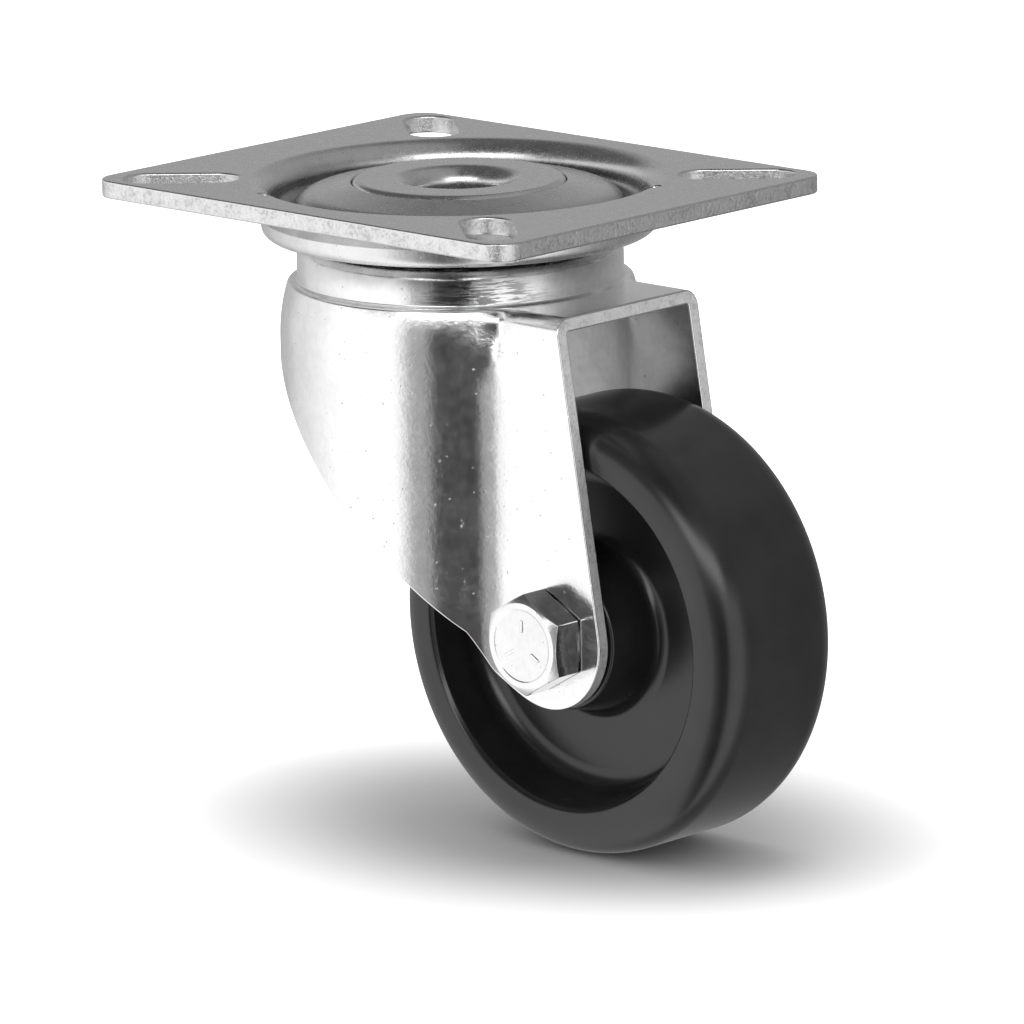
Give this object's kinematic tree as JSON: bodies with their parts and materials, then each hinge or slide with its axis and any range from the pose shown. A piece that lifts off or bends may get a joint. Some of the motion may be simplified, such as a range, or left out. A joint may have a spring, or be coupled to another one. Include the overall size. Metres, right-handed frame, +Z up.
{
  "type": "swivel castor",
  "caption": "Plate-mounted swivel castor: pressed plate with radial slots, ball swivel head, pressed fork, black solid wheel on a bolted axle.",
  "frame": {"origin": "centre of the mounting plate's upper face, on the swivel axis", "axes": "+Z up into what the castor carries, square to the plate; +X towards the side that the wheel trails to; Y along the axle"},
  "size_m": [0.1266, 0.085, 0.1155],
  "materials": {
    "plate_zinc": "bright zinc plating, satin",
    "fork_zinc": "bright zinc plating, scuffed",
    "bolt_zinc": "bright zinc plating",
    "nut_zinc": "bright zinc plating",
    "race_steel": "pressed steel, greased",
    "sleeve_steel": "drawn tube",
    "ball_steel": "polished, greased",
    "insert_nylon": "moulded nylon",
    "wheel_black": "moulded, satin"
  },
  "bodies": {
    "plate": {"top_plate": "plate_zinc", "king_rivet": "plate_zinc", "lower_race": "race_steel"},
    "fork": {"swivel_fork": "fork_zinc", "axle_sleeve": "sleeve_steel", "axle_bolt": "bolt_zinc", "lock_nut": "nut_zinc", "lock_nut_insert": "insert_nylon"},
    "wheel": {"wheel": "wheel_black"},
    "upper_balls": {"upper_ball_01": "ball_steel", "upper_ball_02": "ball_steel", "upper_ball_03": "ball_steel", "upper_ball_04": "ball_steel", "upper_ball_05": "ball_steel", "upper_ball_06": "ball_steel", "upper_ball_07": "ball_steel", "upper_ball_08": "ball_steel", "upper_ball_09": "ball_steel", "upper_ball_10": "ball_steel", "upper_ball_11": "ball_steel", "upper_ball_12": "ball_steel", "upper_ball_13": "ball_steel", "upper_ball_14": "ball_steel", "upper_ball_15": "ball_steel", "upper_ball_16": "ball_steel", "upper_ball_17": "ball_steel", "upper_ball_18": "ball_steel", "upper_ball_19": "ball_steel", "upper_ball_20": "ball_steel", "upper_ball_21": "ball_steel", "upper_ball_22": "ball_steel"},
    "lower_balls": {"lower_ball_01": "ball_steel", "lower_ball_02": "ball_steel", "lower_ball_03": "ball_steel", "lower_ball_04": "ball_steel", "lower_ball_05": "ball_steel", "lower_ball_06": "ball_steel", "lower_ball_07": "ball_steel", "lower_ball_08": "ball_steel", "lower_ball_09": "ball_steel", "lower_ball_10": "ball_steel", "lower_ball_11": "ball_steel", "lower_ball_12": "ball_steel", "lower_ball_13": "ball_steel", "lower_ball_14": "ball_steel", "lower_ball_15": "ball_steel", "lower_ball_16": "ball_steel", "lower_ball_17": "ball_steel", "lower_ball_18": "ball_steel", "lower_ball_19": "ball_steel", "lower_ball_20": "ball_steel", "lower_ball_21": "ball_steel"}
  },
  "joints": [
    {"name": "swivel", "type": "hinge", "parent": "plate", "child": "fork", "pos_m": [0, 0, 0], "axis": [0, 0, 1], "continuous": true},
    {"name": "wheel_roll", "type": "hinge", "parent": "fork", "child": "wheel", "pos_m": [0.03658, 0, -0.0755], "axis": [0, 1, 0], "continuous": true},
    {"name": "upper_ring_roll", "type": "hinge", "parent": "plate", "child": "upper_balls", "pos_m": [0, 0, -0.00792], "axis": [0, 0, 1], "continuous": true},
    {"name": "lower_ring_roll", "type": "hinge", "parent": "plate", "child": "lower_balls", "pos_m": [0, 0, -0.01628], "axis": [0, 0, 1], "continuous": true}
  ],
  "couplings": [
    {"joint": "upper_ring_roll", "follows": "swivel", "ratio": 0.5},
    {"joint": "lower_ring_roll", "follows": "swivel", "ratio": 0.5}
  ]
}
